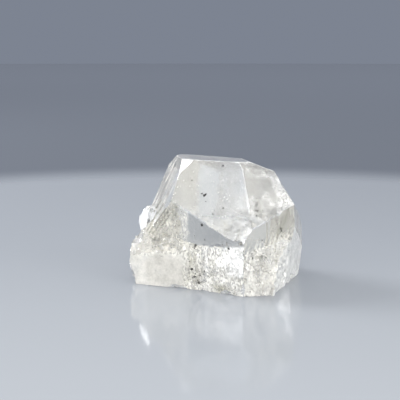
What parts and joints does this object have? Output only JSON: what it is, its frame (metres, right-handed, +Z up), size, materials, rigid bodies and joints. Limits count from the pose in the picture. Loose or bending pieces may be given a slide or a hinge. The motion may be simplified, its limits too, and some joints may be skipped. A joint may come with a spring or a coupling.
{
  "type": "topaz crystal",
  "caption": "Clear, colourless topaz crystal with a flat top, sloping pyramid faces and upright prism faces, broken off flat below so that it stands on its own.",
  "frame": {"origin": "centre of the flat cleavage face that the crystal stands on, under the middle of its box", "axes": "+Z up, along the crystal's length from the cleavage face to the small flat top; -Y towards the side with the two big pyramid faces; +X to the right of that view, along the longest side"},
  "size_m": [0.0329, 0.0301, 0.0228],
  "materials": {
    "clear_topaz": "clear colourless topaz, glossy growth faces, frosted and chipped breaks",
    "healed_fracture": "white, silky films of healed fractures inside the crystal",
    "dark_grain": "small black mineral grains sealed in the crystal, dull"
  },
  "bodies": {
    "root": {"crystal": "clear_topaz"}
  },
  "joints": []
}
